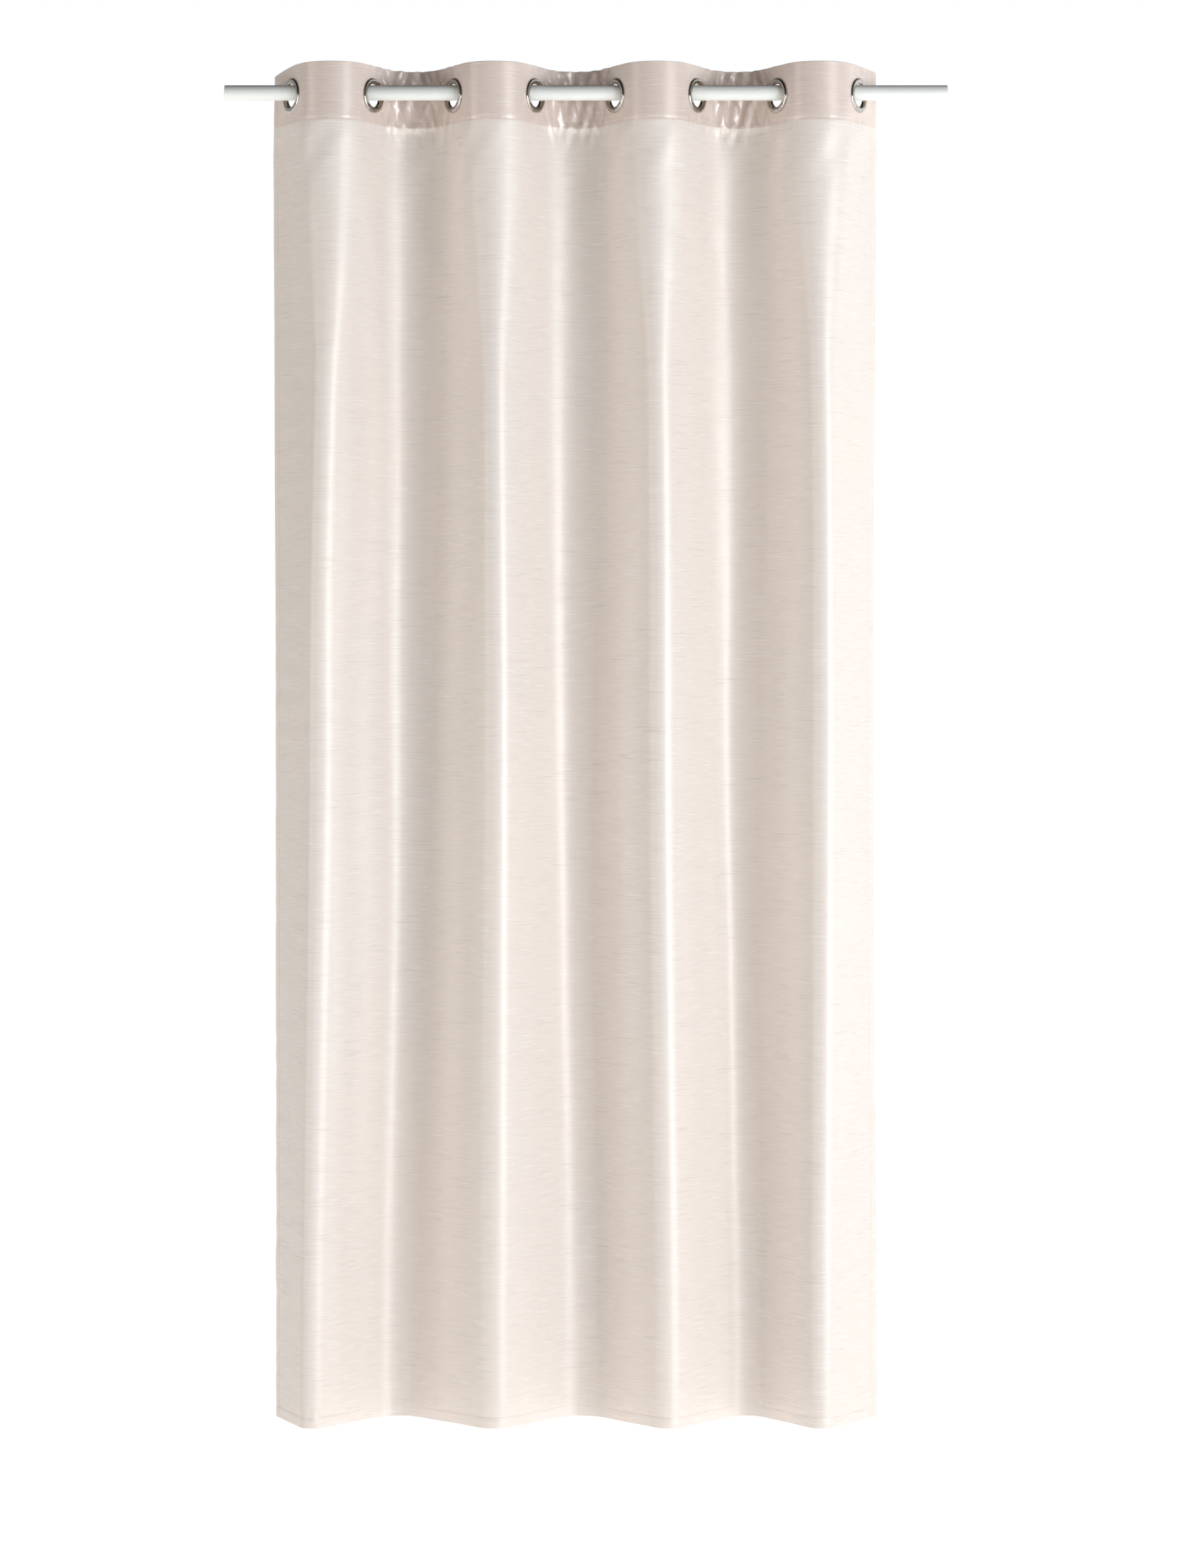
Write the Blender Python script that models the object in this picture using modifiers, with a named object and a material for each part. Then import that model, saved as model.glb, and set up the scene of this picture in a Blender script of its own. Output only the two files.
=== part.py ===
"""Eyelet curtain on a pole.

One satin panel hangs on a round pole from metal eyelets. The origin is on the pole's axis at mid-length,
+X runs along the pole to the viewer's right, +Y away from the viewer and +Z up.

The cloth weaves round the pole: between two eyelets it bulges out to a crest, in front of the pole and
behind it by turns. A pleat is the stretch of cloth from one crest to the next, with its eyelet in the
middle. Neighbouring pleats hinge at the crest they share, so the panel gathers like an accordion while
every eyelet stays centred on the pole. Along the cloth, a place on a pleat is its distance from the
eyelet, in metres, negative to the left; across the cloth, an offset is positive towards the viewer.
"""

import math

import bmesh
import bpy
from mathutils import Matrix, Vector

# Pole: its thickness, and how far it runs on past the centres of the end eyelets.
POLE_DIAMETER = 0.028
POLE_PAST_LEFT = 0.124
POLE_PAST_RIGHT = 0.164
POLE_CHAMFER = 0.001
POLE_SIDES = 48

# Panel: its sizes laid flat, and the angle between cloth and pole at an eyelet as it hangs.
EYELET_COUNT = 8
EYELET_SPACING = 0.2034
END_MARGIN = 0.068
DROP = 2.500
TOP_ABOVE_POLE = 0.049
FOLD_ANGLE = math.radians(58.5)

# Cloth, its stiffened heading and its hems: how far a layer runs up into the fold that holds it, and
# how far the cloth lies flat past an eyelet's rim.
CLOTH_THICKNESS = 0.0006
STIFFENER_THICKNESS = 0.0006
HEADING_DEPTH = 0.106
HEM_DEPTH = 0.022
SIDE_HEM_WIDTH = 0.018
TUCK = 0.008
FLAT_BORDER = 0.001

# Eyelet: a front ring with a barrel through the heading, and a lock ring pressed on it from behind.
# The bore's play is what it has over the least bore that passes the pole at the widest opening.
BORE_PLAY = 0.0017
FLANGE_WIDTH = 0.0108
FRONT_DOME = 0.0032
BACK_DOME = 0.0018
BARREL_WALL = 0.0012
HOLE_PLAY = 0.0006
RING_SIDES = 24
DOME_STEPS = 5

# Clearances and travel of each pleat about its eyelet, from the hung pose.
GAP = 0.0003
SEAT_GAP = 0.0003
OPEN_SWING = math.radians(2)
GATHER_SWING = math.radians(30)

# Fineness of the curves.
ARC_STEPS = 6
FOLD_STEPS = 3

# Worked out from the sizes above.
SLOT = max(CLOTH_THICKNESS, STIFFENER_THICKNESS) + 2 * GAP
FOLD_RADIUS = (SLOT + CLOTH_THICKNESS) / 2
BAND_HALF = FOLD_RADIUS + CLOTH_THICKNESS / 2
FLANGE_SEAT = BAND_HALF + GAP
BARREL_END = FLANGE_SEAT + BACK_DOME
RING_FACET = math.cos(math.pi / RING_SIDES)
OPEN_ANGLE = FOLD_ANGLE - OPEN_SWING
POLE_REACH = POLE_DIAMETER / 2 + SEAT_GAP
LEAST_BORE = (POLE_REACH + BARREL_END * math.cos(OPEN_ANGLE)) / (RING_FACET * math.sin(OPEN_ANGLE))
BORE_RADIUS = LEAST_BORE + BORE_PLAY
BARREL_RADIUS = BORE_RADIUS + BARREL_WALL
RING_RADIUS = BORE_RADIUS + FLANGE_WIDTH
HOLE_RADIUS = BARREL_RADIUS + HOLE_PLAY
FLAT_HALF = RING_RADIUS + FLAT_BORDER
CREST_HALF = EYELET_SPACING / 2
ARC_LENGTH = CREST_HALF - FLAT_HALF
ARC_RADIUS = ARC_LENGTH / FOLD_ANGLE
CREST_X = FLAT_HALF * math.cos(FOLD_ANGLE) + ARC_RADIUS * math.sin(FOLD_ANGLE)
HUNG_PITCH = 2 * CREST_X
CREST_CLEARANCE = BAND_HALF * math.tan(GATHER_SWING) + GAP
POLE_LENGTH = POLE_PAST_LEFT + (EYELET_COUNT - 1) * HUNG_PITCH + POLE_PAST_RIGHT
FIRST_EYELET_X = POLE_PAST_LEFT - POLE_LENGTH / 2
TOP_Z = TOP_ABOVE_POLE
SEAM_Z = TOP_Z - HEADING_DEPTH
BOTTOM_Z = TOP_Z - DROP
HEM_Z = BOTTOM_Z + HEM_DEPTH

# Finish of each material: colour, roughness, metallic.
FINISHES = {
    "satin_cloth": ((0.80, 0.73, 0.66), 0.45, 0.0),
    "stiffener": ((0.88, 0.87, 0.84), 0.80, 0.0),
    "polished_metal": ((0.75, 0.75, 0.77), 0.12, 1.0),
    "painted_pole": ((0.74, 0.75, 0.72), 0.55, 0.0),
}


def front_ring_section():
    """Outline of the front ring as (radius, height), down its outer side and back up its bore."""
    middle = (RING_RADIUS + BORE_RADIUS) / 2
    dome = []
    for step in range(DOME_STEPS + 1):
        turn = math.pi * step / DOME_STEPS
        radius = middle - FLANGE_WIDTH / 2 * math.cos(turn)
        dome.append((radius, FLANGE_SEAT + FRONT_DOME * math.sin(turn)))
    return dome + [(BARREL_RADIUS, FLANGE_SEAT), (BARREL_RADIUS, -BARREL_END), (BORE_RADIUS, -BARREL_END)]


def back_ring_section():
    """Outline of the lock ring, which sits round the barrel behind the heading."""
    inner = BARREL_RADIUS + GAP
    middle = (RING_RADIUS + inner) / 2
    half = (RING_RADIUS - inner) / 2
    dome = []
    for step in range(DOME_STEPS + 1):
        turn = math.pi * step / DOME_STEPS
        dome.append((middle + half * math.cos(turn), -FLANGE_SEAT - BACK_DOME * math.sin(turn)))
    return dome


def pole_clearance(drop):
    """Least distance from the pole's axis to a ring that hangs this far below it, opened widest."""
    found = []
    for radius, height in front_ring_section():
        inner = RING_FACET * radius
        for degree in range(360):
            around = math.radians(degree)
            across = inner * math.cos(around) * math.sin(OPEN_ANGLE) - height * math.cos(OPEN_ANGLE)
            found.append(math.hypot(across, inner * math.sin(around) - drop))
    return min(found)


def hang_drop():
    """How far the eyelets' centres hang below the pole's axis, clear of it over the whole travel."""
    low, high = 0.0, BORE_RADIUS
    for _ in range(20):
        drop = (low + high) / 2
        if pole_clearance(drop) > POLE_REACH:
            low = drop
        else:
            high = drop
    return low


RING_Z = -hang_drop()


def side_of(pleat):
    """+1 where the cloth runs away from the viewer from left to right, -1 where it comes forward."""
    return 1 if pleat % 2 == 0 else -1


def eyelet_x(pleat):
    return FIRST_EYELET_X + (pleat - 1) * HUNG_PITCH


def plan(pleat, along):
    """Place and angle of a pleat's cloth seen from above, before its side's sign, from its eyelet."""
    sign = math.copysign(1, along)
    free = (pleat == 1 and sign < 0) or (pleat == EYELET_COUNT and sign > 0)
    if free or abs(along) <= FLAT_HALF:
        return along * math.cos(FOLD_ANGLE), along * math.sin(FOLD_ANGLE), FOLD_ANGLE
    angle = FOLD_ANGLE - (abs(along) - FLAT_HALF) / ARC_RADIUS
    x = CREST_X - ARC_RADIUS * math.sin(angle)
    y = FLAT_HALF * math.sin(FOLD_ANGLE) + ARC_RADIUS * (math.cos(angle) - math.cos(FOLD_ANGLE))
    return sign * x, sign * y, angle


def on_cloth(pleat, along, offset, z):
    """Point of a pleat in its own frame, whose origin is on the pole's axis at the eyelet."""
    x, y, angle = plan(pleat, along)
    side = side_of(pleat)
    return Vector((x + offset * side * math.sin(angle), side * y - offset * math.cos(angle), z))


def cloth_span(pleat):
    """First and last place of a pleat's cloth, from one crest or side edge to the other."""
    first = -END_MARGIN if pleat == 1 else CREST_CLEARANCE - CREST_HALF
    last = END_MARGIN if pleat == EYELET_COUNT else CREST_HALF - CREST_CLEARANCE
    return first, last


def places_along(first, last):
    """Places that follow the curve between two places: a straight middle and an arc either side."""
    places = {first, last}
    for step in range(ARC_STEPS + 1):
        place = FLAT_HALF + ARC_LENGTH * step / ARC_STEPS
        places.update((-place, place))
    return sorted(place for place in places if first <= place <= last)


def half_turn(centre, direction):
    """Cloth's middle line round a fold, as (place, offset) pairs, bulging along direction."""
    points = []
    for step in range(FOLD_STEPS + 1):
        turn = math.pi * step / FOLD_STEPS
        bulge = FOLD_RADIUS * math.sin(turn) * direction
        points.append((centre + bulge, FOLD_RADIUS * math.cos(turn)))
    return points


def folded(edge, other, direction):
    """Section of a band folded over at its edge: up the front layer, round the fold, down the back."""
    centre = edge - direction * BAND_HALF
    return [(other, FOLD_RADIUS)] + half_turn(centre, direction) + [(other, -FOLD_RADIUS)]


def material(name):
    colour, roughness, metallic = FINISHES[name]
    made = bpy.data.materials.new(name)
    made.use_nodes = True
    shader = made.node_tree.nodes["Principled BSDF"]
    shader.inputs["Base Color"].default_value = (*colour, 1)
    shader.inputs["Roughness"].default_value = roughness
    shader.inputs["Metallic"].default_value = metallic
    return made


def mesh_object(name, mesh, collection, finish=None):
    made = bpy.data.objects.new(name, mesh)
    collection.objects.link(made)
    if finish:
        mesh.materials.append(finish)
    return made


def add_pole(curtain, finish):
    mesh = bpy.data.meshes.new("pole")
    shape = bmesh.new()
    radius = POLE_DIAMETER / 2
    turn = Matrix.Rotation(math.pi / 2, 4, "Y")
    sizes = {"segments": POLE_SIDES, "radius1": radius, "radius2": radius, "depth": POLE_LENGTH}
    bmesh.ops.create_cone(shape, cap_ends=True, matrix=turn, **sizes)
    rims = [edge for edge in shape.edges if any(len(face.verts) > 4 for face in edge.link_faces)]
    bmesh.ops.bevel(shape, geom=rims, offset=POLE_CHAMFER, segments=1, affect="EDGES")
    shape.to_mesh(mesh)
    shape.free()
    mesh.shade_smooth()
    mesh.set_sharp_from_angle(angle=math.radians(30))
    return mesh_object("pole", mesh, curtain, finish)


def sheet_mesh(name, rows, columns, place):
    """Grid of rows by columns, each point put where place(row, column) says."""
    mesh = bpy.data.meshes.new(name)
    shape = bmesh.new()
    bmesh.ops.create_grid(shape, x_segments=len(columns) - 1, y_segments=len(rows) - 1, size=1)
    shape.verts.ensure_lookup_table()
    for index, vertex in enumerate(shape.verts):
        row, column = divmod(index, len(columns))
        vertex.co = place(rows[row], columns[column])
    shape.to_mesh(mesh)
    shape.free()
    mesh.shade_smooth()
    mesh.set_sharp_from_angle(angle=math.radians(30))
    return mesh


def thicken(sheet, thickness):
    solidify = sheet.modifiers.new("Thickness", "SOLIDIFY")
    solidify.thickness = thickness
    solidify.offset = 0
    solidify.use_even_offset = True


def punch(sheet, cutter):
    hole = sheet.modifiers.new("Eyelet hole", "BOOLEAN")
    hole.operation = "DIFFERENCE"
    hole.object = cutter


def add_band(name, pleat, section, curtain, finish):
    """Doubled band across a pleat, its section given as (height, offset) pairs."""
    columns = places_along(*cloth_span(pleat))
    mesh = sheet_mesh(name, section, columns, lambda row, along: on_cloth(pleat, along, row[1], row[0]))
    band = mesh_object(name, mesh, curtain, finish)
    thicken(band, CLOTH_THICKNESS)
    return band


def add_layer(name, pleat, span, heights, thickness, curtain, finish):
    """Single layer of cloth or stiffener between two heights."""
    columns = places_along(*span)
    mesh = sheet_mesh(name, heights, columns, lambda z, along: on_cloth(pleat, along, 0, z))
    layer = mesh_object(name, mesh, curtain, finish)
    thicken(layer, thickness)
    return layer


def add_side_hem(name, pleat, curtain, finish):
    """Side hem: the cloth folded round the panel's left or right edge."""
    first, last = cloth_span(pleat)
    edge, direction = (first, -1) if pleat == 1 else (last, 1)
    section = folded(edge, edge - direction * SIDE_HEM_WIDTH, direction)
    heights = [HEM_Z + GAP, SEAM_Z - GAP]
    mesh = sheet_mesh(name, heights, section, lambda z, spot: on_cloth(pleat, spot[0], spot[1], z))
    hem = mesh_object(name, mesh, curtain, finish)
    thicken(hem, CLOTH_THICKNESS)
    return hem


def inside_side_hem(pleat):
    """Span of a pleat's cloth, which stops inside the side hem's fold."""
    first, last = cloth_span(pleat)
    if pleat == 1:
        first += BAND_HALF
    if pleat == EYELET_COUNT:
        last -= BAND_HALF
    return first, last


def eyelet_matrix(pleat):
    """Eyelet's place in its pleat's frame: X along the cloth, Y up and Z out of its front face."""
    side = side_of(pleat)
    along = Vector((math.cos(FOLD_ANGLE), side * math.sin(FOLD_ANGLE), 0))
    up = Vector((0, 0, 1))
    axes = Matrix((along, up, along.cross(up))).transposed().to_4x4()
    return Matrix.Translation((0, 0, RING_Z)) @ axes


def add_hole_cutter(pleat, cutters):
    mesh = bpy.data.meshes.new(f"hole_{pleat}")
    shape = bmesh.new()
    sizes = {"segments": RING_SIDES, "radius1": HOLE_RADIUS, "radius2": HOLE_RADIUS, "depth": 8 * BAND_HALF}
    bmesh.ops.create_cone(shape, cap_ends=True, **sizes)
    shape.to_mesh(mesh)
    shape.free()
    cutter = mesh_object(f"hole_{pleat}", mesh, cutters)
    cutter.hide_render = True
    cutter.display_type = "WIRE"
    return cutter


def ring_mesh(name, section, finish):
    """Closed section in the XZ plane, to be spun about Z."""
    mesh = bpy.data.meshes.new(name)
    points = [(radius, 0, height) for radius, height in section]
    edges = [(index, (index + 1) % len(points)) for index in range(len(points))]
    mesh.from_pydata(points, edges, [])
    mesh.materials.append(finish)
    return mesh


def add_ring(name, mesh, curtain):
    ring = mesh_object(name, mesh, curtain)
    spin = ring.modifiers.new("Spin", "SCREW")
    spin.axis = "Z"
    spin.steps = RING_SIDES
    spin.render_steps = RING_SIDES
    spin.use_merge_vertices = True
    spin.merge_threshold = 0.00001
    spin.use_smooth_shade = True
    return ring


def add_hinge(pleat, curtain, carrier):
    """Empty on the axis a pleat turns about: its eyelet for the first, the shared crest for the others."""
    hinge = bpy.data.objects.new(f"hinge_{pleat}", None)
    curtain.objects.link(hinge)
    hinge.empty_display_size = POLE_DIAMETER
    hinge.location = (eyelet_x(pleat), 0, 0)
    if pleat > 1:
        x, y, _ = plan(pleat, -CREST_HALF)
        hinge.location += Vector((x, side_of(pleat) * y, 0))
        hinge.parent = carrier
        hinge.matrix_parent_inverse = Matrix.Translation(-carrier.matrix_world.translation)
    bpy.context.view_layer.update()
    return hinge


def hang(piece, pleat, hinge, local=Matrix.Identity(4)):
    """Puts a piece in its pleat's frame and parents it to the pleat's hinge."""
    piece.parent = hinge
    piece.matrix_parent_inverse = Matrix.Translation(-hinge.matrix_world.translation)
    piece.matrix_basis = Matrix.Translation((eyelet_x(pleat), 0, 0)) @ local


def add_pleat(pleat, hinge, rings, curtain, cutters, finishes):
    cloth, stiff = finishes["satin_cloth"], finishes["stiffener"]
    cutter = add_hole_cutter(pleat, cutters)
    heading = add_band(f"heading_{pleat}", pleat, folded(TOP_Z, SEAM_Z, 1), curtain, cloth)
    heights = [SEAM_Z + TUCK + GAP, TOP_Z - BAND_HALF]
    first, last = cloth_span(pleat)
    stiffener = add_layer(
        f"stiffener_{pleat}", pleat, (first + GAP, last - GAP), heights, STIFFENER_THICKNESS, curtain, stiff
    )
    for layer in (heading, stiffener):
        punch(layer, cutter)
    span = inside_side_hem(pleat)
    heights = [HEM_Z - TUCK, SEAM_Z + TUCK]
    leaf = add_layer(f"cloth_{pleat}", pleat, span, heights, CLOTH_THICKNESS, curtain, cloth)
    hem = add_band(f"hem_{pleat}", pleat, folded(BOTTOM_Z, HEM_Z, -1), curtain, cloth)
    for piece in (heading, stiffener, leaf, hem):
        hang(piece, pleat, hinge)
    for name, mesh in rings.items():
        hang(add_ring(f"{name}_{pleat}", mesh, curtain), pleat, hinge, eyelet_matrix(pleat))
    hang(cutter, pleat, hinge, eyelet_matrix(pleat))


def build():
    for old in list(bpy.data.objects):
        bpy.data.objects.remove(old, do_unlink=True)
    curtain = bpy.data.collections.new("eyelet_curtain")
    cutters = bpy.data.collections.new("cutters")
    for collection in (curtain, cutters):
        bpy.context.scene.collection.children.link(collection)
    finishes = {name: material(name) for name in FINISHES}
    add_pole(curtain, finishes["painted_pole"])
    rings = {
        "eyelet_front": ring_mesh("eyelet_front", front_ring_section(), finishes["polished_metal"]),
        "eyelet_back": ring_mesh("eyelet_back", back_ring_section(), finishes["polished_metal"]),
    }
    side_hems = {1: "side_hem_left", EYELET_COUNT: "side_hem_right"}
    hinge = None
    for pleat in range(1, EYELET_COUNT + 1):
        hinge = add_hinge(pleat, curtain, hinge)
        add_pleat(pleat, hinge, rings, curtain, cutters, finishes)
        if pleat in side_hems:
            hang(add_side_hem(side_hems[pleat], pleat, curtain, finishes["satin_cloth"]), pleat, hinge)


build()
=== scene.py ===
"""Eyelet curtain on a pole: finished cloth, eyelets and pole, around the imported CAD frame."""
import math

import bpy
import numpy as np
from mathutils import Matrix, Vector


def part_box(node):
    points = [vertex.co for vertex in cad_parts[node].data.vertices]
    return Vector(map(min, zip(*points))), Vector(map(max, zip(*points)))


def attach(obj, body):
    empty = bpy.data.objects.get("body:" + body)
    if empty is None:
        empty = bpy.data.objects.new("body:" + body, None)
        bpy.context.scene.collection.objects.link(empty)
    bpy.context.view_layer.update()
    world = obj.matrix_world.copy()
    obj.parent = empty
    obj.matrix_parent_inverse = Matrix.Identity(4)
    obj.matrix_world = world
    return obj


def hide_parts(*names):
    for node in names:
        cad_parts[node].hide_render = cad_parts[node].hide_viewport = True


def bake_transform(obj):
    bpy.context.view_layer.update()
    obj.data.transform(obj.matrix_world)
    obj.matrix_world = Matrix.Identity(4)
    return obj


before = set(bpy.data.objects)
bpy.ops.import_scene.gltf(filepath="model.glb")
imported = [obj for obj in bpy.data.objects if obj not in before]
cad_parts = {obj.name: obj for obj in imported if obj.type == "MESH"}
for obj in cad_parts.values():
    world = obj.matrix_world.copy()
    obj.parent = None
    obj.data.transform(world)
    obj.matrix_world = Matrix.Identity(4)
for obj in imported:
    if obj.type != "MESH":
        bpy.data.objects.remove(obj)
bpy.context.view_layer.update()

# Sizes in metres, as the CAD has them
EYELETS = 8
EYELET_SPACING = 0.2034                  # along the flat cloth
END_MARGIN = 0.068                       # flat, from a side edge to the nearest eyelet's centre
FLAT_WIDTH = (EYELETS - 1) * EYELET_SPACING + 2 * END_MARGIN
DROP = 2.500
TOP_Z = 0.049                            # the heading's top edge; the pole's axis is at 0
RING_Z = -0.005147
EYELET_DOWN = TOP_Z - RING_Z             # from the top edge to an eyelet's centre
HEADING_DEPTH = 0.106
HEM_DEPTH = 0.022
SIDE_HEM = 0.018
FOLD_ANGLE = math.radians(58.5)
FLAT_HALF = 0.0330                       # straight part either side of an eyelet
HUNG_PITCH = 0.149226
FIRST_EYELET = -0.542292
HOLE_RADIUS = 0.0236
RING_RADIUS = 0.0320
BORE_RADIUS = 0.0212
BARREL_RADIUS = 0.0224
FLANGE_SEAT = 0.0015
FRONT_DOME = 0.0032
BACK_DOME = 0.0018
BARREL_END = 0.0033
POLE_RADIUS = 0.014
LAYER = 0.0010                           # from the middle of the heading to either layer
HEM_LAYER = 0.0006

FLANK = EYELET_SPACING                   # cloth between two crests at the top
EDGE_FLANK = END_MARGIN + FLANK / 2      # cloth between a side edge and the first crest
CRESTS = EYELETS - 1
CREST_X = [FIRST_EYELET + HUNG_PITCH * (crest + 0.5) for crest in range(CRESTS)]
EDGE_LEFT = FIRST_EYELET - END_MARGIN * math.cos(FOLD_ANGLE)
EDGE_RIGHT = -EDGE_LEFT - 0.040          # the pole runs 40 mm further past the right edge
EDGE_Y = END_MARGIN * math.sin(FOLD_ANGLE)

# How far the crests and side edges wander sideways at these distances from the top
HEIGHTS = [0.0, 0.14, 1.19, 2.50]
CREST_DRIFT = [
    [0, -0.001, -0.021, -0.037],
    [0, 0.000, -0.007, -0.032],
    [0, 0.001, 0.008, 0.002],
    [0, 0.000, -0.008, 0.012],
    [0, 0.000, 0.010, 0.022],
    [0, 0.000, -0.001, 0.019],
    [0, 0.002, 0.012, 0.004],
]
EDGE_DRIFT_LEFT = [0, -0.002, 0.001, 0.002]
EDGE_DRIFT_RIGHT = [0, 0.000, -0.006, 0.002]

# Share of a flank that turns into a crest: at the top, low down at the back, and at the front
RAMP_TOP = (FLANK / 2 - FLAT_HALF) / FLANK
RAMP_LOW = 0.20
RAMP_SHARP = 0.13

ACROSS = 64                              # mesh columns in a whole flank
ACROSS_EDGE = 54
CUT = 44                                 # the column where one sheet ends and the next begins

# Cloth settling: length of the run, how much a seam draws in, the most a point may move
SETTLE_FRAMES = 14
SEAM_SHRINK = 0.10
MOST_MOVE = 0.012
SEWN_BAND = 0.006                        # half the height of the band that a seam draws in
SMOOTH_COLUMNS = 12                      # reach of the smoothing of the lower cloth
SMOOTH_WIDTH = 6

# How far the top corners sag, and how far in from the side edge that reaches
LEFT_DROOP = 0.011
RIGHT_DROOP = 0.004
DROOP_REACH = 0.085

# Stitch lines: their distance inside a sewn edge, and the groove that they pull into the cloth
SEAM_STITCH_IN = 0.003
HEM_STITCH_IN = 0.002
GROOVE = 0.0022
GROOVE_DEPTH = 0.0004
STITCH_PITCH = 0.0039
SIDE_STITCH_PITCH = 0.0041
STITCH_LENGTH = 0.0027
STITCH_RADIUS = 0.00030
STITCH_SINK = 0.00028                    # how far a stitch's ends go down into the cloth
STITCH_LIFT = 0.00022


# ---------------------------------------------------------------- hanging shape

HALVINGS = 40                            # steps that narrow down a slope or a depth


def eased(low, high, value):
    t = np.clip((value - low) / (high - low), 0, 1)
    return t * t * (3 - 2 * t)


def along_height(v, values):
    """A smooth curve through the values at HEIGHTS."""
    out = np.zeros_like(v)
    for i in range(len(HEIGHTS) - 1):
        inside = (v >= HEIGHTS[i]) & (v <= HEIGHTS[i + 1])
        t = eased(HEIGHTS[i], HEIGHTS[i + 1], v)
        out[inside] = (values[i] + (values[i + 1] - values[i]) * t)[inside]
    return out


def flank_slope(width, depth, start, end):
    """A flank's steepest angle and its length; start and end are the shares of it that curve."""
    low, high = np.full_like(width, 0.02), np.full_like(width, 1.45)
    for _ in range(HALVINGS):
        angle = (low + high) / 2
        bend = start + end
        run = bend * np.sin(angle) / angle + (1 - bend) * np.cos(angle)
        rise = bend * (1 - np.cos(angle)) / angle + (1 - bend) * np.sin(angle)
        steep = rise * width > run * depth
        high = np.where(steep, angle, high)
        low = np.where(steep, low, angle)
    return angle, width / run


def hanging_rows(v):
    """Crest places, slopes and cloth lengths of every flank, for each height v."""
    crests = np.array([CREST_X[i] + along_height(v, CREST_DRIFT[i]) for i in range(CRESTS)])
    left = EDGE_LEFT + along_height(v, EDGE_DRIFT_LEFT)
    right = EDGE_RIGHT + along_height(v, EDGE_DRIFT_RIGHT)
    x = np.vstack([left, crests, right])
    width = np.diff(x, axis=0)
    ramp = RAMP_TOP + (RAMP_LOW - RAMP_TOP) * eased(0.10, 1.7, v)
    sharp = RAMP_TOP + (RAMP_SHARP - RAMP_TOP) * eased(0.10, 0.60, v)
    ramps = [ramp if crest % 2 else sharp for crest in range(CRESTS)]
    start = np.vstack([ramp * 0, *ramps])
    end = np.vstack([*ramps, ramp * 0])
    start[-1] *= FLANK / EDGE_FLANK
    end[0] *= FLANK / EDGE_FLANK
    low, high = np.full_like(v, 0.030), np.full_like(v, 0.090)
    for _ in range(HALVINGS):
        crest_depth = (low + high) / 2
        depth = np.vstack([EDGE_Y + crest_depth, *[2 * crest_depth] * (EYELETS - 2),
                           EDGE_Y + crest_depth])
        angle, length = flank_slope(width, depth, start, end)
        too_long = length.sum(axis=0) > FLAT_WIDTH
        high = np.where(too_long, crest_depth, high)
        low = np.where(too_long, low, crest_depth)
    return x, crest_depth, angle, length, start, end


def flank_point(s, length, angle, start, end):
    """How far over and how deep the flank has gone at s along it, and its slope there."""
    first, last = start * length, end * length
    radius_first, radius_last = first / angle, last / angle
    straight = length - first - last
    turn_in = angle * np.clip(s / np.maximum(first, 1e-9), 0, 1)
    turn_in = np.where(first < 1e-9, angle, turn_in)
    left = length - s
    turn_out = angle * np.clip(left / np.maximum(last, 1e-9), 0, 1)
    turn_out = np.where(last < 1e-9, angle, turn_out)
    flat = np.clip(s - first, 0, straight)
    over = (radius_first * np.sin(turn_in) + flat * np.cos(angle)
            + radius_last * (np.sin(angle) - np.sin(turn_out)))
    deep = (radius_first * (1 - np.cos(turn_in)) + flat * np.sin(angle)
            + radius_last * (np.cos(turn_out) - np.cos(angle)))
    return over, deep, np.minimum(turn_in, turn_out)


def hang(v, columns):
    """Cloth points for rows v and for each flank's columns, as shares of that flank."""
    x, crest_depth, angle, length, start, end = hanging_rows(v)
    rows, places = [], []
    done = np.zeros_like(v)
    for flank in range(EYELETS):
        side = 1 if flank % 2 else -1
        share = columns[flank][None, :]
        s = share * length[flank][:, None]
        stops = [0, 0.03, EDGE_FLANK]          # the side hem keeps its columns' spacing
        if flank == 0:
            s = np.array([np.interp(share[0] * EDGE_FLANK, stops, [0, 0.03, n])
                          for n in length[0]])
        if flank == EYELETS - 1:
            s = np.array([n - np.interp((1 - share[0]) * EDGE_FLANK, stops, [0, 0.03, n])
                          for n in length[-1]])
        over, deep, slope = flank_point(s, length[flank][:, None], angle[flank][:, None],
                                        start[flank][:, None], end[flank][:, None])
        first_y = EDGE_Y * np.ones_like(v) if flank == 0 else -side * crest_depth
        px = x[flank][:, None] + over
        py = first_y[:, None] + side * deep
        px += LAYER * side * np.sin(slope)
        py -= LAYER * np.cos(slope)
        pz = np.broadcast_to(TOP_Z - v[:, None], px.shape)
        rows.append(np.stack([px, py, pz], axis=-1))
        places.append(done[:, None] + s)
        done = done + length[flank]
    return np.concatenate(rows, axis=1), np.concatenate(places, axis=1)


def columns_of(step):
    """Column shares of each flank; neighbouring flanks share their crest column only once."""
    out = []
    for flank in range(EYELETS):
        count = (ACROSS_EDGE if flank in (0, EYELETS - 1) else ACROSS) // step
        share = np.arange(count + 1) / count
        out.append(share if flank == EYELETS - 1 else share[:-1])
    return out


def body_rows():
    """Row heights: close together at the heading and hem, wider apart between."""
    heading = list(np.linspace(0, HEADING_DEPTH, 19))
    v, rows = HEADING_DEPTH, []
    while v < DROP - HEM_DEPTH - 0.004:
        rows.append(v)
        near = min(v - HEADING_DEPTH, DROP - HEM_DEPTH - v)
        v += min(0.026, 0.006 + 0.10 * near)
    rows.append(DROP - HEM_DEPTH)
    hem = list(np.linspace(DROP - HEM_DEPTH, DROP, 5))
    return np.array(heading + rows[1:] + hem[1:])


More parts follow.
